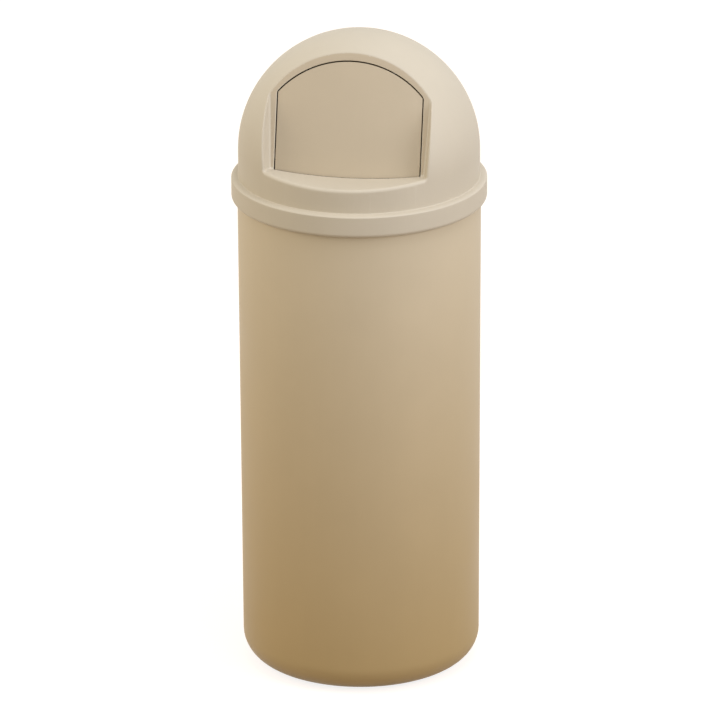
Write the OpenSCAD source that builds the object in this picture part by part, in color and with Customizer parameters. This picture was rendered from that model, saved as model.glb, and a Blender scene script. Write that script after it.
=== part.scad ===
// Round waste bin: tapered body, rigid liner, and a domed top that lifts off.
// A sprung push door in the dome swings inwards on a hidden rod.
// Millimetres, +Z up, door towards -Y, origin on the floor under the middle of the bin.

/* [Body] */
// Outside diameter at the top of the body wall
body_top_d = 362; // [340:1:390]
// Narrowing of the body from its top to its foot, on the diameter
body_draft = 6; // [2:0.5:16]
// Height of the body from the floor to its rim
body_h = 744; // [640:1:840]
// Thickness of the body wall
body_wall = 4; // [3:0.25:6]
// Radius of the rounded bottom edge
foot_round = 42; // [26:1:48]
// Thickness of the body's bottom
bottom_t = 6; // [4:0.5:9]
// Depth of the hollow under the bottom
hollow_depth = 6; // [3:0.5:10]
// Width of the flat ring that stands on the floor
foot_ring_w = 22; // [14:1:34]
// Thickness of the thick rim, measured inwards
rim_t = 10; // [7:0.5:13]
// Height of the thick rim
rim_h = 12; // [8:1:20]

/* [Dome] */
// Height from the body's rim to the crown of the dome
dome_rise = 241; // [225:1:255]
// How far the dome's wall stands in from the top of the body's wall
dome_inset = 1.5; // [0:0.25:3]
// Thickness of the dome's wall
dome_wall = 4; // [3:0.25:5]
// How far the collar stands out from the dome's wall
collar_out = 10.5; // [9:0.5:13]
// How far the collar hangs down over the body
collar_drop = 13; // [11:0.5:20]
// Height of the collar's upright band and its rounded lower edge
collar_band = 20; // [18:0.5:30]
// Height of the rounded shoulder above the band
shoulder_h = 17; // [13:0.5:22]
// Thickness of the collar's skirt
skirt_t = 4; // [3:0.25:5]
// Radius of the collar's rounded lower edge
lip_round = 6; // [4:0.5:7]
// Gap between the collar's lip and the body, all round
collar_gap = 1.4; // [0.6:0.1:2.2]
// Thickness of the ledge that rests on the rim
ledge_t = 4; // [3:0.25:6]
// Reach of the ledge inwards from the body's outside
ledge_reach = 13; // [11:0.5:18]
// Gap under the ledge
seat_gap = 0.3; // [0.1:0.1:0.6]

/* [Doorway] */
// Lean of the doorway's face back from upright, in degrees
face_lean = 17; // [13:0.5:20]
// Depth below the crown at which the doorway's face leaves the dome
face_drop = 10; // [8:0.5:14]
// Width of the flat band above the arch of the opening
arch_band = 12.5; // [10:0.5:15]
// Height of the opening along the face, arch to foot
opening_h = 173.5; // [160:0.5:178]
// Rise of the arch over its corners
arch_rise = 50; // [44:1:58]
// Drop of the curved foot below its corners
foot_sag = 7.3; // [3:0.1:12]
// Width of the flat land beside the opening
side_land = 8; // [6:0.5:12]
// Flare of the recess's side walls, in degrees
jamb_flare = 15; // [5:1:22]
// Fall of the sill towards the front, in degrees
sill_fall = 3.5; // [1:0.5:7]
// Height of the sill's back edge above the foot of the opening
sill_step = 1.5; // [1:0.1:2.5]

/* [Door] */
// Width of the door
door_w = 215; // [190:1:220]
// Thickness of the door
door_t = 3.5; // [2.5:0.25:4.5]
// Gap between the door and the sides and arch of its opening
door_gap = 1.8; // [1.2:0.1:2.6]
// Gap between the door and the foot of its opening
foot_gap = 1.3; // [1:0.1:2]
// Setback of the door behind the doorway's face
door_setback = 1; // [0:0.25:1.5]
// Depth of the ribs on the back of the door
rib_depth = 3.5; // [2:0.5:4]
// Thickness of those ribs
rib_t = 2.5; // [1.5:0.25:4]
// Distance of the outer rib from the edge of the door
rib_inset = 5; // [3:0.5:9]
// Distance between the upright ribs
rib_pitch = 69; // [55:1:74]

/* [Hinge] */
// Diameter of the hinge rod
rod_d = 5; // [4:0.5:6]
// Running clearance round the rod, on the radius
rod_play = 0.07; // [0.03:0.01:0.1]
// Distance of the rod behind the doorway's face
rod_back = 15; // [14.5:0.5:17]
// Distance of the rod below the top of the opening, along the face
rod_drop = 16; // [14:0.5:20]
// Distance from the middle to each bracket's ear
ear_x = 66; // [64:0.5:68]
// Thickness of an ear
ear_t = 3; // [2.5:0.25:4]
// Wall of the knuckles and ears round the rod
eye_wall = 3; // [2:0.25:3.5]
// Thickness of a bracket's plate
plate_t = 3; // [2:0.25:3.5]
// Width of a bracket's plate
plate_w = 14; // [12:0.5:16]
// Distance of the plate's middle inside of the ear's middle
plate_shift = 2; // [1:0.25:3.5]
// Height of the plate's underside above the rod's axis
plate_rise = 8.3; // [7.5:0.1:9]
// Distance from the rod back to the bracket's first screw
screw_back = 17; // [15:0.5:19]
// Distance between a bracket's two screws
screw_pitch = 14; // [11:0.5:16]
// Shank diameter of the screws
screw_d = 3.2; // [2.5:0.1:4]
// Length of a screw below its head
screw_len = 11; // [8:0.5:12]
// Diameter of a screw's head
head_d = 7.4; // [6:0.1:8.5]
// Height of a screw's head
head_h = 2.4; // [1.8:0.1:3]
// Wall of the bosses round the screws
boss_wall = 3; // [2:0.25:4]
// Length of the middle knuckle
mid_knuckle_w = 16; // [10:1:24]
// Length of each outer knuckle
knuckle_w = 8; // [5:0.5:10]
// Gap between a spring and what is beside it on the rod
spring_side_gap = 0.8; // [0.4:0.1:1.5]
// Diameter of the push nuts on the rod's ends
nut_d = 10.5; // [9:0.5:13]
// Thickness of a push nut
nut_t = 1.2; // [0.8:0.1:2]
// Length of rod that shows past a push nut
rod_end = 3; // [1:0.5:5]

/* [Springs] */
// Wire diameter
wire_d = 1.5; // [1:0.1:1.8]
// Number of full turns
spring_turns = 4; // [3:1:5]
// Gap from one turn to the next
turn_gap = 0.45; // [0.4:0.05:0.6]
// Clearance between the coil and the rod
coil_play = 0.6; // [0.4:0.1:0.9]
// Reach of the leg that presses on the door
door_leg = 34; // [24:1:44]
// Reach of the leg that presses on the bracket
plate_leg = 10; // [8:0.5:11]

/* [Stops] */
// Diameter of the rubber bumpers
bumper_d = 7; // [5:0.5:8]
// Thickness of a bumper's pad
bumper_t = 3.5; // [2.5:0.25:5]
// Diameter of a bumper's stem
stem_d = 3.6; // [3:0.1:4.5]
// Gap between a bumper and the frame
bumper_gap = 0.3; // [0.1:0.1:0.5]
// Thickness of the lugs that carry the bumpers
lug_t = 4; // [3:0.5:6]
// Height of a lug
lug_h = 14; // [10:1:20]
// Height of the lugs above the foot of the opening
lug_up = 24; // [18:1:40]
// Width of a lug's root on the door
lug_root = 6; // [4:0.5:9]

/* [Liner] */
// Gap between the liner's rim and the body's rim, all round
liner_gap = 2; // [1:0.25:5]
// Height of the liner
liner_h = 700; // [600:5:715]
// Thickness of the liner's wall
liner_wall = 2.5; // [2:0.25:4]
// Narrowing of the liner from top to bottom, on the diameter
liner_draft = 16; // [8:1:30]
// Width of the liner's turned-out rim
liner_rim = 5; // [3:0.5:8]
// Depth of that rim's turned-down edge
liner_rim_h = 12; // [8:1:20]
// Length of each hand hold
grip_l = 100; // [80:5:130]
// Height of each hand hold
grip_h = 28; // [22:1:34]
// Depth of the hand holds' middle below the liner's rim
grip_drop = 46; // [36:1:60]

/* [Hidden] */
$fn = 120;

beige = [0.79, 0.71, 0.57];
beige_dark = [0.70, 0.61, 0.46];
liner_grey = [0.36, 0.37, 0.38];
steel = [0.72, 0.73, 0.75];
black_rubber = [0.08, 0.08, 0.09];
black_nylon = [0.15, 0.15, 0.16];

// Overlap that joins shapes of one solid, and the reach of cutters
join = 1;
far = 400;
// Finely divided rounds, for the widest arcs
fine = 360;

// Body
body_r = body_top_d / 2;
foot_r = (body_top_d - body_draft) / 2;
floor_z = hollow_depth + bottom_t;

// Dome and collar
dome_r = body_r - dome_inset;
dome_z = body_h + dome_rise - dome_r;
dome_in_r = dome_r - dome_wall;
collar_r = dome_r + collar_out;
collar_z = body_h - collar_drop;
ridge_z = collar_z + collar_band;
shoulder_z = ridge_z + shoulder_h;
skirt_in_r = collar_r - skirt_t;
lip_in_r = body_r + collar_gap;
ledge_z = body_h + seat_gap;
ledge_in_r = body_r - ledge_reach;

// Doorway, in a frame on its face: x across, y inwards, z up along the face
face_z = dome_z + dome_r - face_drop;
face_y = sqrt(face_drop * (2 * dome_r - face_drop));
open_half = door_w / 2 + door_gap;
open_top = -arch_band;
open_foot = open_top - opening_h;
arch_r = (open_half * open_half + arch_rise * arch_rise) / (2 * arch_rise);
sag_r = (open_half * open_half + foot_sag * foot_sag) / (2 * foot_sag);
sill_tilt = face_lean + sill_fall;
sill_r = sag_r / cos(sill_tilt);

// Door
door_back = door_setback + door_t;

// Hinge, with the rod's axis in the face frame and in the bin's frame
rod_fz = open_top - rod_drop;
rod_y = -face_y + rod_fz * sin(face_lean) + rod_back * cos(face_lean);
rod_z = face_z + rod_fz * cos(face_lean) - rod_back * sin(face_lean);
bore_r = rod_d / 2 + rod_play;
eye_r = bore_r + eye_wall;
plate_z = rod_z + plate_rise;
plate_x = ear_x - plate_shift;
hole_play = 0.1;
boss_d = screw_d + 2 * boss_wall;

// Springs: the coil fills the room between the outer knuckle and the ear
wire_r = wire_d / 2;
coil_r = rod_d / 2 + coil_play + wire_r;
turn_pitch = wire_d + turn_gap;
spring_w = (spring_turns + 0.25) * turn_pitch + wire_d;
coil_end_x = ear_x - ear_t / 2 - spring_side_gap - wire_r;
coil_start_x = coil_end_x - (spring_turns + 0.25) * turn_pitch;
knuckle_x = ear_x - ear_t / 2 - 2 * spring_side_gap - spring_w - knuckle_w / 2;
leg_gap = 0.15;

// Stops
lug_y = dome_wall + bumper_gap + bumper_t;
bumper_x = open_half + (side_land + dome_wall) / 2;
lug_z = open_foot + foot_sag + lug_up;
lug_root_x = door_w / 2 - lug_root - 3;
barb_over = 1;
barb_t = 1.5;

// Liner
liner_r = body_r - rim_t - liner_gap;
liner_foot_r = liner_r - liner_rim - liner_draft / 2;
liner_z = floor_z + seat_gap;
liner_top = liner_z + liner_h;

// Places things in the doorway's face frame
module on_face() {
    translate([0, -face_y, face_z]) rotate([-face_lean, 0, 0]) children();
}

// A round bar along X
module bar_x(r, x0, x1) {
    translate([x0, 0, 0]) rotate([0, 90, 0]) cylinder(r = r, h = x1 - x0);
}

// The outline of the opening, shrunk by a gap and drawn from one depth to another
module arched_slab(side_in, foot_in, y0, y1) {
    half = open_half - side_in;
    intersection() {
        translate([-half, y0, open_foot - far]) cube([2 * half, y1 - y0, 2 * far]);
        translate([0, y0, open_top - arch_r]) rotate([-90, 0, 0])
            cylinder(r = arch_r - side_in, h = y1 - y0, $fn = fine);
        translate([0, y0, open_foot + sag_r]) rotate([-90, 0, 0])
            cylinder(r = sag_r - foot_in, h = y1 - y0, $fn = fine);
    }
}

// The space in front of the doorway's face; grow = dome_wall gives the outside of its walls
module recess(grow) {
    depth = far / 2;
    half = open_half + side_land + grow / cos(jamb_flare) - grow * tan(jamb_flare);
    front_half = half + depth * tan(jamb_flare);
    on_face() intersection() {
        translate([0, 0, -far]) linear_extrude(height = 2 * far)
            polygon([[-half, grow], [half, grow],
                     [front_half, grow - depth], [-front_half, grow - depth]]);
        translate([0, 0, open_foot + sill_step]) rotate([sill_tilt, 0, 0]) translate([0, 0, sill_r])
            rotate([90, 0, 0]) cylinder(r = sill_r + grow, h = far, center = true, $fn = fine);
    }
}

function quarter_oval(cx, cy, rx, ry, steps) =
    [for (i = [0 : steps]) [cx + rx * cos(90 * i / steps), cy + ry * sin(90 * i / steps)]];

// Body: tapered wall, rounded bottom edge, raised bottom inside a ring, thick rim
module body_shell() {
    in_round = foot_round - body_wall;
    round_x = foot_r - foot_round;
    color(beige_dark) rotate_extrude() difference() {
        union() {
            polygon([[0, 0], [round_x, 0], [round_x, foot_round], [foot_r, foot_round],
                     [body_r, body_h], [0, body_h]]);
            translate([round_x, foot_round]) circle(r = foot_round);
        }
        // Inside of the bin
        union() {
            polygon([[0, floor_z], [round_x, floor_z], [round_x, foot_round],
                     [foot_r - body_wall, foot_round], [body_r - body_wall, body_h - rim_h - rim_t],
                     [body_r - rim_t, body_h - rim_h], [body_r - rim_t, body_h + join],
                     [0, body_h + join]]);
            intersection() {
                translate([round_x, foot_round]) circle(r = in_round);
                translate([round_x - foot_round, floor_z]) square([far, foot_round]);
            }
        }
        // Hollow under the bottom
        polygon([[-join, -join], [round_x - foot_ring_w + hollow_depth, -join],
                 [round_x - foot_ring_w - join, hollow_depth], [-join, hollow_depth]]);
        translate([-far, -join]) square([far, body_h + 2 * join]);
    }
}

// Liner: tapered bucket with a turned-down rim and two hand holds
module liner_bucket() {
    wall_r = liner_r - liner_rim;
    color(liner_grey) difference() {
        rotate_extrude() polygon([
            [0, liner_z], [liner_foot_r, liner_z], [wall_r, liner_top - liner_wall],
            [liner_r - liner_wall, liner_top - liner_wall],
            [liner_r - liner_wall, liner_top - liner_rim_h],
            [liner_r, liner_top - liner_rim_h], [liner_r, liner_top],
            [wall_r - liner_wall, liner_top], [liner_foot_r - liner_wall, liner_z + liner_wall],
            [0, liner_z + liner_wall]]);
        for (side = [-1, 1]) translate([side * wall_r, 0, liner_top - grip_drop])
            rotate([0, 90, 0]) {
                slot_half = (grip_l - grip_h) / 2;
                translate([0, 0, -liner_r / 2])
                    linear_extrude(height = liner_r) union() {
                        for (end = [-1, 1]) translate([0, end * slot_half]) circle(d = grip_h);
                        square([grip_h, 2 * slot_half], center = true);
                    }
            }
    }
}

// Right upper quarter of a disc, for the profiles of the dome
module quarter_disc(r) {
    intersection() {
        circle(r = r);
        square([r + join, r + join]);
    }
}

// Outside of the dome, before the doorway is cut
module dome_outside() {
    rotate_extrude($fn = fine) union() {
        translate([0, dome_z]) quarter_disc(dome_r);
        polygon(concat([[0, collar_z], [collar_r - lip_round, collar_z],
                        [collar_r - lip_round, collar_z + lip_round],
                        [collar_r, collar_z + lip_round]],
                       quarter_oval(dome_r, ridge_z, collar_out, shoulder_h, 8),
                       [[dome_r, dome_z], [0, dome_z]]));
        intersection() {
            translate([collar_r - lip_round, collar_z + lip_round]) circle(r = lip_round);
            translate([collar_r - lip_round, collar_z]) square([lip_round, lip_round]);
        }
    }
}

// Inside of the dome: under the crown, through the ledge, and round the body's rim
module dome_inside() {
    relief_r = skirt_in_r - skirt_t / 2;
    relief_z = max(ridge_z, ledge_z + ledge_t + join);
    rotate_extrude($fn = fine) union() {
        translate([0, dome_z]) quarter_disc(dome_in_r);
        polygon([
            [0, collar_z - join], [lip_in_r, collar_z - join], [lip_in_r, collar_z + lip_round],
            [skirt_in_r, collar_z + lip_round + (skirt_in_r - lip_in_r)], [skirt_in_r, ledge_z],
            [ledge_in_r, ledge_z], [ledge_in_r, ledge_z + ledge_t], [relief_r, ledge_z + ledge_t],
            [relief_r, relief_z], [dome_in_r, shoulder_z], [dome_in_r, dome_z], [0, dome_z]]);
    }
}

// Dome: shell, collar, recessed doorway with its sill, and bosses for the brackets
module dome_shell() {
    color(beige) difference() {
        union() {
            difference() {
                dome_outside();
                recess(0);
                difference() {
                    dome_inside();
                    recess(dome_wall);
                }
            }
            intersection() {
                screw_places() translate([0, 0, plate_t]) cylinder(d = boss_d, h = far / 4);
                translate([0, 0, dome_z]) sphere(r = dome_r - join, $fn = fine);
            }
        }
        on_face() arched_slab(0, 0, -join, dome_wall + 2 * join);
        screw_places() cylinder(d = screw_d + hole_play, h = screw_len + join);
    }
}

// The four screw places, at the underside of the brackets' plates
module screw_places() {
    for (side = [-1, 1], i = [0, 1])
        translate([side * plate_x, rod_y + screw_back + i * screw_pitch, plate_z]) children();
}

// Door: flat arched panel with ribs, knuckles on the rod, and lugs for the bumpers
module door_panel() {
    rib_back = door_back + rib_depth;
    rib_top = rod_fz - eye_r - rib_inset;
    color(beige) on_face() difference() {
        union() {
            arched_slab(door_gap, foot_gap, door_setback, door_back);
            difference() {
                arched_slab(door_gap + rib_inset, foot_gap + rib_inset, door_setback, rib_back);
                arched_slab(door_gap + rib_inset + rib_t, foot_gap + rib_inset + rib_t,
                            door_setback - join, rib_back + join);
            }
            for (i = [-1 : 1]) intersection() {
                translate([i * rib_pitch - rib_t / 2, door_setback, open_foot])
                    cube([rib_t, rib_back - door_setback, rib_top - open_foot]);
                arched_slab(door_gap + rib_inset, foot_gap + rib_inset, door_setback, rib_back);
            }
            translate([0, rod_back, rod_fz]) {
                knuckle(0, mid_knuckle_w);
                for (side = [-1, 1]) knuckle(side * knuckle_x, knuckle_w);
            }
            for (side = [-1, 1]) lug(side);
        }
        translate([0, rod_back, rod_fz]) bar_x(bore_r, -ear_x, ear_x);
        for (side = [-1, 1]) translate([side * bumper_x, 0, lug_z]) rotate([-90, 0, 0])
            cylinder(d = stem_d + hole_play, h = far / 4);
    }
}

// One knuckle, with its web to the back of the door
module knuckle(x, w) {
    web_drop = 3;
    bar_x(eye_r, x - w / 2, x + w / 2);
    translate([x - w / 2, door_back - rod_back - join / 2, -eye_r - web_drop])
        cube([w, rod_back - door_back + join / 2, eye_r + web_drop]);
}

// One lug: it reaches sideways from the back of the door, behind the frame
module lug(side) {
    reach = bumper_x + bumper_d / 2 - lug_root_x;
    mirror([side < 0 ? 1 : 0, 0, 0]) translate([lug_root_x, 0, lug_z - lug_h / 2]) {
        translate([0, door_back - join, 0])
            cube([lug_root, lug_y + lug_t - door_back + join, lug_h]);
        translate([0, lug_y, 0]) cube([reach, lug_t, lug_h]);
    }
}

// Rubber bumpers: a pad and a stem on each lug
module door_bumpers() {
    color(black_rubber) on_face() for (side = [-1, 1])
        translate([side * bumper_x, 0, lug_z]) rotate([-90, 0, 0]) {
            translate([0, 0, dome_wall + bumper_gap]) cylinder(d = bumper_d, h = bumper_t);
            translate([0, 0, lug_y - join]) cylinder(d = stem_d, h = lug_t + join);
            translate([0, 0, lug_y + lug_t]) cylinder(d = stem_d + 2 * barb_over, h = barb_t);
        }
}

// Hinge rod
module hinge_rod() {
    half = ear_x + ear_t / 2 + nut_t + rod_end;
    color(steel) translate([0, rod_y, rod_z]) bar_x(rod_d / 2, -half, half);
}

// Push nuts: a thin cupped ring on each end of the rod
module rod_push_nuts() {
    dish = 1.5;
    x = ear_x + ear_t / 2;
    color(steel) translate([0, rod_y, rod_z]) for (side = [0, 1]) mirror([side, 0, 0])
        difference() {
            union() {
                bar_x(nut_d / 2, x, x + nut_t / 2);
                bar_x(nut_d / 2 - dish, x, x + nut_t);
            }
            bar_x(rod_d / 2, x - join, x + nut_t + join);
        }
}

// Bracket: a plate screwed under the dome, with one ear that holds the rod
module hinge_bracket(side) {
    back = screw_back + screw_pitch + boss_d / 2;
    ear_in = ear_x - ear_t / 2;
    color(black_nylon) mirror([side < 0 ? 1 : 0, 0, 0]) difference() {
        union() {
            translate([plate_x - plate_w / 2, rod_y - eye_r, plate_z])
                cube([plate_w, back + eye_r, plate_t]);
            translate([0, rod_y, rod_z]) bar_x(eye_r, ear_in, ear_in + ear_t);
            translate([ear_in, rod_y - eye_r, rod_z]) cube([ear_t, 2 * eye_r, plate_rise + join]);
        }
        translate([0, rod_y, rod_z]) bar_x(bore_r, ear_in - join, ear_in + ear_t + join);
        screw_places() translate([0, 0, -join])
            cylinder(d = screw_d + hole_play, h = plate_t + 2 * join);
    }
}

module hinge_bracket_left() { hinge_bracket(-1); }
module hinge_bracket_right() { hinge_bracket(1); }

// Four pan-head screws, heads down
module bracket_screws() {
    color(steel) screw_places() {
        translate([0, 0, -head_h]) cylinder(d = head_d, h = head_h);
        cylinder(d = screw_d, h = screw_len);
    }
}

// Torsion spring: one wire from the door leg, round the rod, to the bracket leg
function unit(v) = v / norm(v);
function spring_path() = let (
        turn = 360 * spring_turns + 90,
        steps = 10 * spring_turns + 3,
        door_y = door_back + leg_gap + wire_r - rod_back
    ) concat(
        [[coil_start_x, door_y * cos(face_lean) - door_leg * sin(face_lean),
          -door_leg * cos(face_lean) - door_y * sin(face_lean)]],
        [for (i = [0 : steps]) let (a = turn * i / steps - face_lean)
            [coil_start_x + (coil_end_x - coil_start_x) * i / steps,
             -coil_r * cos(a), coil_r * sin(a)]],
        [[coil_end_x, plate_leg, plate_rise - wire_r - seat_gap]]);

module wire(path, r, sides) {
    last = len(path) - 1;
    tangents = [for (i = [0 : last]) unit(path[min(i + 1, last)] - path[max(i - 1, 0)])];
    across = [for (t = tangents) unit([1, 0, 0] - t[0] * t)];
    points = [for (i = [0 : last], k = [0 : sides - 1])
        path[i] + r * (cos(360 * k / sides) * across[i]
                       + sin(360 * k / sides) * cross(tangents[i], across[i]))];
    walls = [for (i = [0 : last - 1], k = [0 : sides - 1]) let (n = (k + 1) % sides)
        [i * sides + k, (i + 1) * sides + k, (i + 1) * sides + n, i * sides + n]];
    ends = [[for (k = [0 : sides - 1]) k], [for (k = [sides - 1 : -1 : 0]) last * sides + k]];
    polyhedron(points = points, faces = concat(ends, walls));
}

module door_spring(side) {
    color(steel) mirror([side < 0 ? 1 : 0, 0, 0])
        translate([0, rod_y, rod_z]) wire(spring_path(), wire_r, 6);
}

module door_spring_left() { door_spring(-1); }
module door_spring_right() { door_spring(1); }

body_shell();
liner_bucket();
dome_shell();
door_panel();
hinge_rod();
rod_push_nuts();
hinge_bracket_left();
hinge_bracket_right();
bracket_screws();
door_spring_left();
door_spring_right();
door_bumpers();
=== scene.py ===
import math

import bmesh
import bpy
import numpy as np
from mathutils import Matrix, Vector


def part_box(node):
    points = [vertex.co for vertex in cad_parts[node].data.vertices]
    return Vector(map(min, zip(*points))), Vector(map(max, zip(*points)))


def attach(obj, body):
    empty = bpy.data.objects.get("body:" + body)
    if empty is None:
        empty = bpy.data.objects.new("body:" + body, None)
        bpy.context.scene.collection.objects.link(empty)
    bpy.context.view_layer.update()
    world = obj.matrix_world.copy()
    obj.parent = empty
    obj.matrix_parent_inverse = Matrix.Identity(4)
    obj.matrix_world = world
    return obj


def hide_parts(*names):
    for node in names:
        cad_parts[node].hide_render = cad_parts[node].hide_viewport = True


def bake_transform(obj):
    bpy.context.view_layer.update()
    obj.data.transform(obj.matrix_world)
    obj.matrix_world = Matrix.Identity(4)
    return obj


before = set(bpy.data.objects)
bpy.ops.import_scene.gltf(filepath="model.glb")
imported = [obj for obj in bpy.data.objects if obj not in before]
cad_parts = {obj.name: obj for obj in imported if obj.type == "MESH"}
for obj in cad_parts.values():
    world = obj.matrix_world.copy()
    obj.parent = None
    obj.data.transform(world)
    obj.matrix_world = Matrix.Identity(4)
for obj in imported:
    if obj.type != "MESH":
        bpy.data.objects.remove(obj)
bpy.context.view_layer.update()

MM = 0.001

# Camera: the height that it aims at on the bin's axis, its distance, its angles and its lens
AIM_Z = 0.47
CAMERA_AWAY = 12
VIEW_TURN = math.radians(9.36)
CAMERA_PITCH = math.radians(20.66)
CAMERA_ROLL = math.radians(-0.26)
FOCAL_PX = 8014
IMAGE_PX = 720

# Sizes read from the frame
BODY_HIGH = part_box("body_shell")[1]
DOME_LOW, DOME_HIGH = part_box("dome_shell")
ROD_LOW, ROD_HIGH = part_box("hinge_rod")
PLATE_LOW, PLATE_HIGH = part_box("hinge_bracket_right")
SCREW_LOW, SCREW_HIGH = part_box("bracket_screws")

BODY_R = float(BODY_HIGH[0])
BODY_TOP = float(BODY_HIGH[2])
COLLAR_R = float(DOME_HIGH[0])
COLLAR_FOOT = float(DOME_LOW[2])
CROWN = float(DOME_HIGH[2])
ROD_R = float(ROD_HIGH[2] - ROD_LOW[2]) / 2
ROD_Y = float(ROD_HIGH[1] + ROD_LOW[1]) / 2
ROD_Z = float(ROD_HIGH[2] + ROD_LOW[2]) / 2

# Body, with the rounding of its corners
BODY_WALL = 4 * MM
BODY_DRAFT = 3 * MM
FOOT_ROUND = 42 * MM
HOLLOW = 6 * MM
BOTTOM = 6 * MM
FOOT_RING = 22 * MM
RING_SLOPE = 1 * MM
RING_CORNER = 3 * MM
RING_EDGE = 1.5 * MM
RIM_T = 10 * MM
RIM_H = 12 * MM
RIM_OUTSIDE = 2.5 * MM
RIM_INSIDE = 2 * MM
RIM_BELOW = 8 * MM

# Dome and collar
DOME_INSET = 1.5 * MM
DOME_R = BODY_R - DOME_INSET
DOME_Z = CROWN - DOME_R
DOME_WALL = 4 * MM
COLLAR_BAND = 31 * MM
SHOULDER_H = 3.5 * MM
SKIRT_T = 4 * MM
SKIRT_TAPER = 8 * MM
LIP_ROUND = 6 * MM
COLLAR_GAP = 1.4 * MM
LEDGE_T = 4 * MM
LEDGE_REACH = 13 * MM
LEDGE_R = BODY_R - LEDGE_REACH
SEAT_GAP = 0.3 * MM
RIDGE_Z = COLLAR_FOOT + COLLAR_BAND
SCREW_HEAD_R = 3.7 * MM
BOSS_R = 4.6 * MM

# Doorway, measured in the plane of its face
LEAN = math.radians(17)
FACE_DROP = 10 * MM
FACE_Z = CROWN - FACE_DROP
FACE_Y = math.sqrt(FACE_DROP * (2 * DOME_R - FACE_DROP))
DOOR_W = 215 * MM
DOOR_GAP = 1.8 * MM
OPEN_HALF = DOOR_W / 2 + DOOR_GAP
OPEN_TOP = -12.5 * MM
OPEN_H = 173.5 * MM
OPEN_FOOT = OPEN_TOP - OPEN_H
CUT_FRONT = 1 * MM
CUT_BACK = 6 * MM
ARCH_RISE = 50 * MM
FOOT_SAG = 7.3 * MM
ARCH_R = (OPEN_HALF ** 2 + ARCH_RISE ** 2) / (2 * ARCH_RISE)
SAG_R = (OPEN_HALF ** 2 + FOOT_SAG ** 2) / (2 * FOOT_SAG)
JAMB_H = OPEN_TOP - ARCH_RISE - OPEN_FOOT
CORNER_LAND = 11.5 * MM
FOOT_LAND = 5.5 * MM
JAMB_FLARE = math.radians(15)
SILL_RISE = math.radians(3)
SILL_TILT = LEAN - SILL_RISE
SILL_STEP = 1.5 * MM
SILL_R = SAG_R / math.cos(SILL_TILT)

# Rounding of the moulded edges
ARCH_EDGE = 1.5 * MM
SILL_EDGE = 5.5 * MM
INNER_ROUND = 2.5 * MM
FACE_BACK_ROUND = 3 * MM
CUT_ROUND = 1.1 * MM
CUT_CORNER = 2 * MM
COLLAR_CREASE = 1.5 * MM
HOLLOW_FILLET = 1.5 * MM
SHELL_ROUND = 1 * MM

# Springs
WIRE_R = 0.75 * MM
WIRE_CHAMFER = 0.25
COIL_PLAY = 0.6 * MM
COIL_R = ROD_R + COIL_PLAY + WIRE_R
COIL_TURNS = 4.25
COIL_STEPS = 160
DOOR_LEG = 34 * MM
DOOR_LEG_Y = -9.6 * MM
PLATE_LEG = 10 * MM
PLATE_T = 3 * MM

# Base colours of the plastic
DOME_BEIGE = (0.575, 0.500, 0.368)
# Painted shade: the dome's beige darkened for the door and the flat band round the doorway
SHADED_DOOR_BEIGE = (0.526, 0.434, 0.296)
BODY_BEIGE = (0.618, 0.515, 0.348)
# Painted shade: the body's colour at the floor, darker and deeper than its top, stands in for light
# falling off downwards
SHADED_FOOT_BEIGE = (0.474, 0.331, 0.144)
PLASTIC_SPECULAR = 0.22

# Light: lamp colours, strength of the surround, and the floor's colour and glow
COOL = (0.93, 0.98, 1.19)
WARM = (1.0, 0.9, 0.75)
SURROUND = 0.75
PAPER = (0.36, 0.28, 0.2)
PAPER_GLOW = 0.82

# Fineness of curves, and of the edges rounded on copies of CAD nodes
ARC_STEP = math.radians(8)
SAME_POINT = 0.001 * MM
FLAT_TURN = math.radians(0.5)
SHARP_TURN = math.radians(28)
BEVEL_STEPS = 3

# Fineness of the dome's mesh; a split is a turn in degrees, and the shortest edge that is cut for it
NET_STEP = 2 * MM
NET_SPLITS = ((14, 1.2 * MM), (14, 0.6 * MM))
THINNED_FACES = 120000
SLIVER_SPLITS = ((2.5, 5 * MM), (2.5, 5 * MM), (5, 3 * MM), (5, 3 * MM), (9, 2 * MM))
ON_FACE = 0.05 * MM


def face_frame(y, z):
    """Depth behind the doorway's face, and height along it, of a point."""
    back, up = y + FACE_Y, z - FACE_Z
    return (back * math.cos(LEAN) - up * math.sin(LEAN),
            back * math.sin(LEAN) + up * math.cos(LEAN))


def both(a, b, r):
    """Distance to what two shapes share, with the edge between them rounded to radius r."""
    return np.minimum(np.maximum(a, b), -r) + np.hypot(np.maximum(a + r, 0), np.maximum(b + r, 0))


def either(a, b, r):
    """Distance to two shapes joined, with a fillet of radius r in the corner between them."""
    return -both(-a, -b, r)


def capsule(r, z, radius):
    """Distance to an upright cylinder with a half sphere on top."""
    return np.hypot(r, np.maximum(z - DOME_Z, 0)) - radius


def collar(r, z):
    """Distance to the collar: an upright band, an oval shoulder above and a rounded lip below."""
    out = np.maximum(r - DOME_R, 0)
    up = np.maximum(z - RIDGE_Z, 0)
    wide = COLLAR_R - DOME_R
    least = 1e-6
    near = np.maximum(np.hypot(out / wide, up / SHOULDER_H), least)
    slope = np.maximum(np.hypot(out / wide ** 2, up / SHOULDER_H ** 2), least / wide)
    return both(near * (near - 1) / slope, COLLAR_FOOT - z, LIP_ROUND)


def down_jamb(up):
    """How far down the jambs a height is: 0 at the arch's corners and above, 1 at the foot and below."""
    return np.clip(1 - (up - OPEN_FOOT) / JAMB_H, 0, 1)


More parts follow.
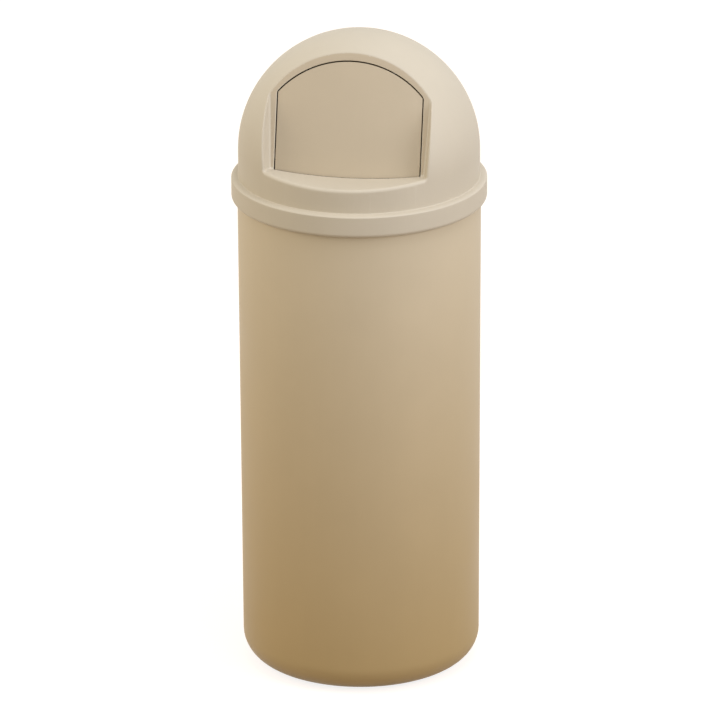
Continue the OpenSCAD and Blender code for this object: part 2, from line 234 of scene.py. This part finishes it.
def recess(x, back, up):
    """Distance to the space in front of the doorway's face."""
    land = CORNER_LAND + (FOOT_LAND - CORNER_LAND) * down_jamb(up)
    jamb_x = OPEN_HALF + land - back * math.tan(JAMB_FLARE)
    side = (np.abs(x) - jamb_x) * math.cos(JAMB_FLARE)
    tilted = (up - OPEN_FOOT - SILL_STEP) * math.cos(SILL_TILT) - back * math.sin(SILL_TILT)
    sill = np.hypot(x, tilted - SILL_R) - SILL_R
    return both(both(side, sill, INNER_ROUND), back, INNER_ROUND)


def opening(x, back, up):
    """Distance to the arched opening, through the face only."""
    arch = np.hypot(x, up - OPEN_TOP + ARCH_R) - ARCH_R
    foot = np.hypot(x, up - OPEN_FOOT - SAG_R) - SAG_R
    outline = both(both(np.abs(x) - OPEN_HALF, arch, CUT_CORNER), foot, CUT_CORNER)
    return np.maximum(outline, np.maximum(-back - CUT_FRONT, back - CUT_BACK))


def bosses(x, y, z):
    """Distance to the four bosses over the brackets' plates."""
    plate_x = float(PLATE_LOW[0] + PLATE_HIGH[0]) / 2
    first = float(SCREW_LOW[1]) + SCREW_HEAD_R
    second = float(SCREW_HIGH[1]) - SCREW_HEAD_R
    nearest = np.minimum(np.abs(y - first), np.abs(y - second))
    round_part = np.hypot(np.abs(x) - plate_x, nearest) - BOSS_R
    return np.maximum(round_part, float(PLATE_HIGH[2]) - z)


def dome_hollow(r, z):
    """Distance to the space under the dome: crown, throat through the ledge, and seat on the rim."""
    skirt_in = COLLAR_R - SKIRT_T
    lip_r = BODY_R + COLLAR_GAP
    ledge_z = BODY_TOP + SEAT_GAP
    relief = skirt_in - SKIRT_T / 2 - DOME_R + DOME_WALL
    widening = relief * np.clip((RIDGE_Z - z) / SKIRT_TAPER, 0, 1)
    crown = np.maximum(capsule(r, z, DOME_R - DOME_WALL) - widening, ledge_z + LEDGE_T - z)
    throat = np.maximum(r - LEDGE_R, z - ledge_z - 2 * LEDGE_T)
    seat_r = lip_r + np.clip(z - COLLAR_FOOT - LIP_ROUND, 0, skirt_in - lip_r)
    seat = np.maximum(r - seat_r, z - ledge_z)
    return either(either(crown, throat, HOLLOW_FILLET), seat, HOLLOW_FILLET)


def dome_distance(x, y, z):
    """Distance to the moulded dome, below zero inside its wall."""
    r = np.hypot(x, y)
    back, up = face_frame(y, z)
    drum = np.maximum(capsule(r, z, DOME_R), RIDGE_Z - z)
    front = recess(x, back, up)
    edge = ARCH_EDGE + (SILL_EDGE - ARCH_EDGE) * down_jamb(up)
    outside = both(either(drum, collar(r, z), COLLAR_CREASE), -front, edge)
    hollow = both(dome_hollow(r, z), DOME_WALL - front, FACE_BACK_ROUND)
    shell = both(outside, -hollow, SHELL_ROUND)
    boss = np.maximum(bosses(x, y, z), capsule(r, z, DOME_R - DOME_WALL / 2))
    return both(np.minimum(shell, boss), -opening(x, back, up), CUT_ROUND)


def gradient(distance, points, step=0.05 * MM):
    """Unit slope of a distance at points."""
    slope = np.empty_like(points)
    for k in range(3):
        shift = np.zeros(3)
        shift[k] = step
        slope[:, k] = distance(*(points + shift).T) - distance(*(points - shift).T)
    return slope / np.maximum(np.linalg.norm(slope, axis=1), 1e-12)[:, None]


def project(distance, points, rounds=3):
    """Points moved onto the surface where a distance is zero."""
    for _ in range(rounds):
        points = points - distance(*points.T)[:, None] * gradient(distance, points)
    return points


def surface_net(distance, low, high, step):
    """A closed mesh of the surface where a distance is zero: (points, quads)."""
    axes = [np.arange(low[k] - 1.5 * step, high[k] + 2 * step, step) for k in range(3)]
    inside = distance(axes[0][:, None, None], axes[1][None, :, None], axes[2][None, None, :]) < 0
    count = sum(inside[i:inside.shape[0] - 1 + i, j:inside.shape[1] - 1 + j,
                       k:inside.shape[2] - 1 + k].astype(np.int8)
                for i in (0, 1) for j in (0, 1) for k in (0, 1))
    crossed = np.argwhere((count > 0) & (count < 8))
    number = np.full(count.shape, -1)
    number[tuple(crossed.T)] = np.arange(len(crossed))
    points = np.stack([axes[k][crossed[:, k]] + step / 2 for k in range(3)], axis=1)
    quads = []
    for axis in range(3):
        near = np.moveaxis(inside, axis, 0)
        cell = np.moveaxis(number, axis, 0)
        edges = np.argwhere(near[:-1, 1:-1, 1:-1] != near[1:, 1:-1, 1:-1])
        i, j, k = edges[:, 0], edges[:, 1], edges[:, 2]
        ring = np.stack([cell[i, j, k], cell[i, j + 1, k], cell[i, j + 1, k + 1], cell[i, j, k + 1]],
                        axis=1)
        # The middle axis runs the other way round when Y comes first
        outward = near[i, j + 1, k + 1] ^ (axis == 1)
        quads.append(np.where(outward[:, None], ring, ring[:, ::-1]))
    return project(distance, points), np.concatenate(quads)


def refine(distance, points, faces, turn, shortest):
    """Triangles split at every edge along which the surface turns by more than an angle."""
    normals = gradient(distance, points)
    pairs = np.sort(np.stack([faces, np.roll(faces, -1, axis=1)], axis=2), axis=2).reshape(-1, 2)
    keys, inverse = np.unique(pairs[:, 0] * len(points) + pairs[:, 1], return_inverse=True)
    a, b = keys // len(points), keys % len(points)
    bent = np.einsum("ij,ij->i", normals[a], normals[b]) < math.cos(turn)
    bent &= np.linalg.norm(points[a] - points[b], axis=1) > shortest
    middle = np.full(len(keys), -1)
    middle[bent] = len(points) + np.arange(bent.sum())
    points = np.concatenate([points, project(distance, (points[a] + points[b])[bent] / 2)])
    cut = middle[inverse].reshape(-1, 3)
    made = [faces[(cut < 0).all(axis=1)]]
    for turns in range(3):
        f, m = np.roll(faces, -turns, axis=1), np.roll(cut, -turns, axis=1)
        one = (m[:, 0] >= 0) & (m[:, 1] < 0) & (m[:, 2] < 0)
        two = (m[:, 0] >= 0) & (m[:, 1] >= 0) & (m[:, 2] < 0)
        for rows, corners in ((one, ("m0", "f1", "f2")), (one, ("f0", "m0", "f2")),
                              (two, ("m0", "f1", "m1")), (two, ("f0", "m0", "m1")),
                              (two, ("f0", "m1", "f2"))):
            made.append(np.stack([(f if c[0] == "f" else m)[rows, int(c[1])] for c in corners], axis=1))
    f, m = (part[(cut >= 0).all(axis=1)] for part in (faces, cut))
    for corners in ((f[:, 0], m[:, 0], m[:, 2]), (m[:, 0], f[:, 1], m[:, 1]),
                    (m[:, 2], m[:, 1], f[:, 2]), (m[:, 0], m[:, 1], m[:, 2])):
        made.append(np.stack(corners, axis=1))
    return points, np.concatenate(made)


def new_piece(name, points, faces, body, material):
    """A smooth mesh piece that rides on a body, if one is named."""
    mesh = bpy.data.meshes.new(name)
    mesh.from_pydata(np.asarray(points).tolist(), [], [list(map(int, f)) for f in faces])
    mesh.validate()
    mesh.shade_smooth()
    piece = bpy.data.objects.new(name, mesh)
    bpy.context.scene.collection.objects.link(piece)
    mesh.materials.append(material)
    if body:
        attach(piece, body)
    return piece


def triangles(mesh):
    """The points and the triangles of a mesh, as arrays."""
    mesh.calc_loop_triangles()
    points = np.empty(3 * len(mesh.vertices), np.float32)
    mesh.vertices.foreach_get("co", points)
    corners = np.empty(3 * len(mesh.loop_triangles), np.int32)
    mesh.loop_triangles.foreach_get("vertices", corners)
    return points.reshape(-1, 3).astype(float), corners.reshape(-1, 3).astype(int)


def thin(piece, share):
    """Keeps a share of a piece's faces, and makes its flatter parts the coarser ones."""
    fewer = piece.modifiers.new("thin", "DECIMATE")
    fewer.ratio = min(1, share)
    shown = piece.evaluated_get(bpy.context.evaluated_depsgraph_get())
    mesh = bpy.data.meshes.new_from_object(shown)
    piece.modifiers.clear()
    piece.data = mesh


def moulded(name, distance, low, high, step, body, material):
    """A closed piece from a distance: fine where it curves tightly, coarse where it doesn't."""
    points, quads = surface_net(distance, low, high, step)
    faces = np.concatenate([quads[:, [0, 1, 2]], quads[:, [0, 2, 3]]])
    for turn, shortest in NET_SPLITS:
        points, faces = refine(distance, points, faces, math.radians(turn), shortest)
    piece = new_piece(name, points, faces, body, material)
    thin(piece, THINNED_FACES / len(faces))
    points, faces = triangles(piece.data)
    points = project(distance, points)
    # Long triangles would carry the turned normals of a fillet far up a flat wall
    for turn, shortest in SLIVER_SPLITS:
        points, faces = refine(distance, points, faces, math.radians(turn), shortest)
    mesh = piece.data
    mesh.clear_geometry()
    mesh.from_pydata(points.tolist(), [], faces.tolist())
    mesh.shade_smooth()
    mesh.normals_split_custom_set_from_vertices(gradient(distance, points).tolist())
    return piece


def rounded(corners):
    """Points of a profile; each corner is (r, z) or (r, z, radius of its rounding)."""
    made = []
    for i, corner in enumerate(corners):
        here = np.array(corner[:2], float)
        if len(corner) < 3 or not 0 < i < len(corners) - 1:
            made.append(here)
            continue
        back = np.array(corners[i - 1][:2]) - here
        on = np.array(corners[i + 1][:2]) - here
        back, on = back / np.linalg.norm(back), on / np.linalg.norm(on)
        half = math.acos(max(-1, min(1, float(back @ on)))) / 2
        middle = here + (back + on) / np.linalg.norm(back + on) * corner[2] / math.sin(half)
        first = here + back * corner[2] / math.tan(half) - middle
        last = here + on * corner[2] / math.tan(half) - middle
        sweep = math.copysign(math.pi - 2 * half, first[0] * last[1] - first[1] * last[0])
        steps = max(2, math.ceil(abs(sweep) / ARC_STEP))
        for k in range(steps + 1):
            a = sweep * k / steps
            made.append(middle + (first[0] * math.cos(a) - first[1] * math.sin(a),
                                  first[0] * math.sin(a) + first[1] * math.cos(a)))
    return made


def lathe(name, profile, body, material, segments=256):
    """A piece turned round the bin's axis from a profile that starts and ends on the axis."""
    inner = profile[1:-1]
    points = [(0, 0, profile[0][1]), (0, 0, profile[-1][1])]
    for k in range(segments):
        a = 2 * math.pi * k / segments
        points += [(r * math.cos(a), r * math.sin(a), z) for r, z in inner]
    faces = []
    for k in range(segments):
        here = 2 + k * len(inner)
        there = 2 + (k + 1) % segments * len(inner)
        faces.append((0, there, here))
        faces.append((1, here + len(inner) - 1, there + len(inner) - 1))
        faces += [(here + i, there + i, there + i + 1, here + i + 1) for i in range(len(inner) - 1)]
    return new_piece(name, points, faces, body, material)


def softened(node, name, body, radius, material):
    """Puts a copy of a CAD node, with its edges rounded, in the node's place."""
    work = bmesh.new()
    work.from_mesh(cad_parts[node].data)
    bmesh.ops.remove_doubles(work, verts=work.verts, dist=SAME_POINT)
    bmesh.ops.dissolve_limit(work, angle_limit=FLAT_TURN, verts=work.verts, edges=work.edges)
    mesh = bpy.data.meshes.new(name)
    work.to_mesh(mesh)
    work.free()
    mesh.materials.clear()
    mesh.materials.append(material)
    mesh.shade_smooth()
    piece = bpy.data.objects.new(name, mesh)
    bpy.context.scene.collection.objects.link(piece)
    edges = piece.modifiers.new("edges", "BEVEL")
    edges.width = radius
    edges.segments = BEVEL_STEPS
    edges.limit_method = "ANGLE"
    edges.angle_limit = SHARP_TURN
    edges.harden_normals = True
    edges.use_clamp_overlap = True
    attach(piece, body)
    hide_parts(node)


def shader(name):
    """A new material and a function that adds nodes to it, with their sockets and settings."""
    material = bpy.data.materials.new(name)
    material.use_nodes = True
    tree = material.node_tree
    tree.nodes.clear()

    def add(kind, sockets=None, **settings):
        node = tree.nodes.new("ShaderNode" + kind)
        for key, value in settings.items():
            setattr(node, key, value)
        for key, value in (sockets or {}).items():
            if isinstance(value, bpy.types.NodeSocket):
                tree.links.new(value, node.inputs[key])
            else:
                node.inputs[key].default_value = value
        return node

    return material, add


def ramp(add, factor, stops):
    """A colour ramp over factor, from (place, colour) pairs."""
    node = add("ValToRGB", {"Fac": factor})
    for k, (place, colour) in enumerate(stops):
        stop = node.color_ramp.elements[k] if k < 2 else node.color_ramp.elements.new(place)
        stop.position = place
        stop.color = (*colour, 1)
    return node.outputs["Color"]


def grey(level):
    """A neutral colour."""
    return (level, level, level)


def moulded_plastic(name, colour, foot, shine=0.48):
    """Satin polyethylene: cloudy tone, painted shade that darkens it towards the floor, orange peel,
    fine grain, paler edges.
    """
    material, add = shader(name)
    place = add("TexCoord").outputs["Object"]
    # Painted shade: the colour darkens from the top colour to the foot colour towards the floor
    high = add("MapRange", {0: add("SeparateXYZ", {0: place}).outputs[2], 2: BODY_TOP}).outputs[0]
    height_shaded_colour = ramp(add, high, [(0, foot), (1, colour)])
    clouds = add("TexNoise", {"Vector": place, "Scale": 9.0, "Detail": 4.0}).outputs["Fac"]
    streaks = add("TexNoise", {
        "Vector": add("Mapping", {"Vector": place, "Scale": (60.0, 60.0, 4.0)}).outputs[0],
        "Scale": 1.0, "Detail": 3.0}).outputs["Fac"]
    peel = add("TexNoise", {"Vector": place, "Scale": 260.0, "Detail": 2.0}).outputs["Fac"]
    fine = add("TexNoise", {"Vector": place, "Scale": 1400.0, "Detail": 2.0}).outputs["Fac"]
    tone = add("Math", {0: streaks, 1: 0.2, 2: clouds}, operation="MULTIPLY_ADD").outputs[0]
    shade = ramp(add, add("Math", {0: tone, 1: 0.8}, operation="MULTIPLY").outputs[0],
                 [(0.35, grey(0.96)), (0.65, grey(1))])
    base = add("Mix", {0: 1.0, 6: height_shaded_colour, 7: shade}, data_type="RGBA", blend_type="MULTIPLY").outputs[2]
    # Paler on sharp convex edges, found from the mesh's pointiness
    edge = ramp(add, add("NewGeometry").outputs["Pointiness"], [(0.56, grey(0)), (0.66, grey(1))])
    edge_lightened = add("Mix", {0: edge, 6: base, 7: (*[min(1, c * 1.05) for c in colour], 1)},
               data_type="RGBA").outputs[2]
    gloss = ramp(add, clouds, [(0.3, grey(shine - 0.04)), (0.7, grey(shine + 0.05))])
    height = add("Math", {0: peel, 1: add("Math", {0: fine, 1: 0.35}, operation="MULTIPLY").outputs[0]},
                 operation="ADD").outputs[0]
    bump = add("Bump", {"Height": height, "Strength": 1.0, "Distance": 0.035 * MM})
    surface = add("BsdfPrincipled", {
        "Base Color": edge_lightened, "Roughness": gloss, "Normal": bump.outputs[0],
        "Specular IOR Level": PLASTIC_SPECULAR})
    add("OutputMaterial", {"Surface": surface.outputs[0]})
    return material


def metal(name, colour, shine):
    """Zinc-plated steel: fine drawn lines, a cloudy plate and dull spots."""
    material, add = shader(name)
    place = add("TexCoord").outputs["Object"]
    lines = add("TexNoise", {
        "Vector": add("Mapping", {"Vector": place, "Scale": (30.0, 3000.0, 3000.0)}).outputs[0],
        "Scale": 1.0, "Detail": 2.0}).outputs["Fac"]
    clouds = add("TexNoise", {"Vector": place, "Scale": 220.0, "Detail": 5.0}).outputs["Fac"]
    base = ramp(add, clouds, [(0.3, [c * 0.85 for c in colour]), (0.7, colour)])
    gloss = ramp(add, clouds, [(0.3, grey(shine)), (0.75, grey(shine + 0.18))])
    bump = add("Bump", {"Height": lines, "Strength": 0.5, "Distance": 0.01 * MM})
    surface = add("BsdfPrincipled", {
        "Base Color": base, "Metallic": 1.0, "Roughness": gloss, "Normal": bump.outputs[0]})
    add("OutputMaterial", {"Surface": surface.outputs[0]})
    return material


def dull(name, colour, shine, scale):
    """Nylon or rubber: mottled, with a fine matt texture."""
    material, add = shader(name)
    place = add("TexCoord").outputs["Object"]
    mottle = add("TexNoise", {"Vector": place, "Scale": scale, "Detail": 4.0}).outputs["Fac"]
    base = ramp(add, mottle, [(0.3, colour), (0.7, [min(1, c * 1.5) for c in colour])])
    gloss = ramp(add, mottle, [(0.3, grey(shine)), (0.7, grey(shine + 0.12))])
    bump = add("Bump", {"Height": mottle, "Strength": 0.6, "Distance": 0.04 * MM})
    surface = add("BsdfPrincipled", {
        "Base Color": base, "Roughness": gloss, "Normal": bump.outputs[0]})
    add("OutputMaterial", {"Surface": surface.outputs[0]})
    return material


def make_camera():
    """The camera stands to the right of the bin's front and looks down at its axis."""
    lens = bpy.data.cameras.new("camera")
    lens.sensor_width = 36
    lens.lens = FOCAL_PX / IMAGE_PX * lens.sensor_width
    lens.clip_end = 100
    camera = bpy.data.objects.new("camera", lens)
    camera.matrix_world = (
        Matrix.Translation((0, 0, AIM_Z)) @ Matrix.Rotation(VIEW_TURN, 4, "Z")
        @ Matrix.Rotation(math.pi / 2 - CAMERA_PITCH, 4, "X") @ Matrix.Rotation(CAMERA_ROLL, 4, "Z")
        @ Matrix.Translation((0, 0, CAMERA_AWAY)))
    bpy.context.scene.collection.objects.link(camera)
    bpy.context.scene.camera = camera


def make_lamp(name, turn, far, high, aim, size, watts, colour):
    """A soft square lamp, turned to the right of the camera's side, that faces a height on the axis."""
    lamp = bpy.data.lights.new(name, "AREA")
    lamp.size = size
    lamp.energy = watts
    lamp.color = colour
    holder = bpy.data.objects.new(name, lamp)
    a = VIEW_TURN + math.radians(turn)
    place = Vector((far * math.sin(a), -far * math.cos(a), high))
    along = Vector((0, 0, aim)) - place
    holder.matrix_world = Matrix.Translation(place) @ along.to_track_quat("-Z", "Y").to_matrix().to_4x4()
    bpy.context.scene.collection.objects.link(holder)


def make_floor():
    """A pale floor that takes the bin's shadow."""
    material, add = shader("floor_paper")
    path = add("LightPath")
    seen = add("Math", {0: path.outputs["Is Camera Ray"], 1: path.outputs["Is Glossy Ray"]},
               operation="MAXIMUM").outputs[0]
    glow = add("Math", {0: seen, 1: PAPER_GLOW}, operation="MULTIPLY").outputs[0]
    paper = add("BsdfPrincipled", {
        "Base Color": (*PAPER, 1), "Roughness": 0.9,
        "Emission Color": (1, 1, 1, 1), "Emission Strength": glow})
    add("OutputMaterial", {"Surface": paper.outputs[0]})
    bpy.ops.mesh.primitive_plane_add(size=60)
    floor = bpy.context.object
    floor.name = "floor"
    floor.data.materials.append(material)


def make_surround():
    """A surround that lights the bin softly, and is white to the camera and in gloss."""
    world = bpy.data.worlds.new("surround")
    bpy.context.scene.world = world
    world.use_nodes = True
    nodes, links = world.node_tree.nodes, world.node_tree.links
    nodes.clear()
    path = nodes.new("ShaderNodeLightPath")
    seen = nodes.new("ShaderNodeMath")
    seen.operation = "MAXIMUM"
    links.new(path.outputs["Is Camera Ray"], seen.inputs[0])
    links.new(path.outputs["Is Glossy Ray"], seen.inputs[1])
    dim = nodes.new("ShaderNodeBackground")
    dim.inputs["Color"].default_value = (1, 1, 1, 1)
    dim.inputs["Strength"].default_value = SURROUND
    white = nodes.new("ShaderNodeBackground")
    white.inputs["Color"].default_value = (1, 1, 1, 1)
    mixed = nodes.new("ShaderNodeMixShader")
    links.new(seen.outputs[0], mixed.inputs[0])
    links.new(dim.outputs[0], mixed.inputs[1])
    links.new(white.outputs[0], mixed.inputs[2])
    out = nodes.new("ShaderNodeOutputWorld")
    links.new(mixed.outputs[0], out.inputs[0])


def make_lamps():
    """Three lamps: a cool one at the right, a warm one at the left and a cool one above."""
    make_lamp("key", turn=58, far=1.8, high=1.35, aim=0.75, size=1.0, watts=13.7, colour=COOL)
    make_lamp("left", turn=-80, far=1.8, high=1.35, aim=0.75, size=1.0, watts=9.4, colour=WARM)
    make_lamp("top", turn=30, far=0.8, high=3.0, aim=0.9, size=1.2, watts=21.6, colour=COOL)


def make_body(plastic):
    """The drum: tapered wall, rounded foot, raised bottom on a flat ring, thick rim."""
    foot_r = BODY_R - BODY_DRAFT
    ring_in = foot_r - FOOT_ROUND - FOOT_RING
    floor_z = HOLLOW + BOTTOM
    profile = rounded([
        (0, HOLLOW), (ring_in - RING_SLOPE, HOLLOW, RING_CORNER), (ring_in + HOLLOW, 0, RING_EDGE),
        (foot_r, 0, FOOT_ROUND), (BODY_R, BODY_TOP, RIM_OUTSIDE),
        (BODY_R - RIM_T, BODY_TOP, RIM_INSIDE), (BODY_R - RIM_T, BODY_TOP - RIM_H, RIM_INSIDE),
        (BODY_R - BODY_WALL, BODY_TOP - RIM_H - RIM_T, RIM_BELOW),
        (foot_r - BODY_WALL, floor_z, FOOT_ROUND - BODY_WALL), (0, floor_z)])
    piece = lathe("body_drum", profile, "body", plastic)
    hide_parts("body_shell")


def spring_path(side):
    """Centre line of a door spring: leg on the door, turns round the rod, leg under the bracket."""
    low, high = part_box("door_spring_right")
    start_x, end_x = float(low[0]) + WIRE_R, float(high[0]) - WIRE_R
    tip_y = DOOR_LEG_Y * math.cos(LEAN) - DOOR_LEG * math.sin(LEAN)
    tip_z = -DOOR_LEG * math.cos(LEAN) - DOOR_LEG_Y * math.sin(LEAN)
    # The leg meets the coil where it just touches it
    touch = math.atan2(tip_z, tip_y) - math.acos(COIL_R / math.hypot(tip_y, tip_z))
    first = math.atan2(math.sin(touch), -math.cos(touch))
    last = 2 * math.pi * COIL_TURNS - LEAN
    points = [(start_x, tip_y, tip_z)]
    for i in range(COIL_STEPS + 1):
        a = first + (last - first) * i / COIL_STEPS
        x = start_x + (end_x - start_x) * i / COIL_STEPS
        points.append((x, -COIL_R * math.cos(a), COIL_R * math.sin(a)))
    leg_z = float(PLATE_HIGH[2]) - PLATE_T - WIRE_R - SEAT_GAP - ROD_Z
    points.append((end_x, PLATE_LEG, leg_z))
    return [Vector((side * x, ROD_Y + y, ROD_Z + z)) for x, y, z in points]


def tube(name, path, radius, material, sides=12):
    """A round wire along a path, with flat, slightly chamfered ends."""
    last = len(path) - 1
    end_share = 1 - WIRE_CHAMFER
    rings = [(path[0], end_share)] + [(p, 1) for p in path] + [(path[last], end_share)]
    inset = WIRE_CHAMFER * radius
    points = []
    for i, (middle, share) in enumerate(rings):
        k = min(max(i - 1, 0), last)
        along = (path[min(k + 1, last)] - path[max(k - 1, 0)]).normalized()
        across = (Vector((1, 0, 0)) - along * along.x).normalized()
        up = along.cross(across)
        if i in (1, last + 1):
            middle = middle + along * (inset if i == 1 else -inset)
        for j in range(sides):
            a = 2 * math.pi * j / sides
            points.append(middle + radius * share * (math.cos(a) * across + math.sin(a) * up))
    faces = [tuple(range(sides)), tuple(range(len(points) - 1, len(points) - sides - 1, -1))]
    for i in range(len(rings) - 1):
        for j in range(sides):
            n = (j + 1) % sides
            faces.append((i * sides + j, (i + 1) * sides + j, (i + 1) * sides + n, i * sides + n))
    return new_piece(name, [tuple(p) for p in points], faces, None, material)


def make_springs(steel):
    """The two torsion springs, as fixed wires; each real coil twists as the door opens."""
    for side, word in ((-1, "left"), (1, "right")):
        path = spring_path(side)
        piece = tube(f"torsion_spring_{word}", path, WIRE_R, steel)
        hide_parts(f"door_spring_{word}")
        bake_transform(piece)


def shade_face_band(mesh, plastic):
    """Gives the flat band round the doorway the darker door plastic, painted shade on the dome's own
    beige.
    """
    mesh.materials.append(plastic)
    flat = [abs(face_frame(*corner.co.yz)[0]) < ON_FACE for corner in mesh.vertices]
    for face in mesh.polygons:
        if all(flat[i] for i in face.vertices):
            face.material_index = 1


def make_dome(plastic, shaded_face_plastic):
    """The moulded top: crown, collar, doorway with its sill, ledge and bosses."""
    reach = COLLAR_R + MM
    low = (-reach, -reach, COLLAR_FOOT - MM)
    high = (reach, reach, CROWN + MM)
    piece = moulded("dome_skin", dome_distance, low, high, NET_STEP, "dome", plastic)
    shade_face_band(piece.data, shaded_face_plastic)
    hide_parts("dome_shell")


make_camera()
make_floor()
make_surround()
make_lamps()

dome_beige = moulded_plastic("dome_beige", DOME_BEIGE, DOME_BEIGE)
# The door's beige is the dome's, darkened as painted shade; the band round the doorway takes it too
shaded_door_beige = moulded_plastic("shaded_door_beige", SHADED_DOOR_BEIGE, SHADED_DOOR_BEIGE)
# The body's base colour darkens towards the floor as painted shade
body_beige = moulded_plastic("body_beige", BODY_BEIGE, SHADED_FOOT_BEIGE)
# Painted shade: the liner's grey is a little darker towards the floor
dark_plastic = moulded_plastic("grey_plastic", grey(0.1), grey(0.09), shine=0.5)
zinc = metal("zinc_plate", (0.62, 0.62, 0.61), shine=0.3)
nylon = dull("black_nylon", (0.022, 0.022, 0.024), shine=0.45, scale=700.0)
rubber = dull("black_rubber", grey(0.016), shine=0.75, scale=1500.0)

make_dome(dome_beige, shaded_door_beige)
make_body(body_beige)
softened("door_panel", "push_door_panel", "door", 0.8 * MM, shaded_door_beige)
softened("liner_bucket", "rigid_liner", "liner", 0.8 * MM, dark_plastic)
softened("hinge_rod", "door_rod", "dome", 0.5 * MM, zinc)
softened("rod_push_nuts", "push_nuts", "dome", 0.2 * MM, zinc)
softened("hinge_bracket_left", "bracket_left", "dome", 0.6 * MM, nylon)
softened("hinge_bracket_right", "bracket_right", "dome", 0.6 * MM, nylon)
softened("bracket_screws", "pan_head_screws", "dome", 0.6 * MM, zinc)
softened("door_bumpers", "rubber_bumpers", "door", 0.5 * MM, rubber)
make_springs(zinc)

bpy.context.scene.view_settings.view_transform = "Standard"
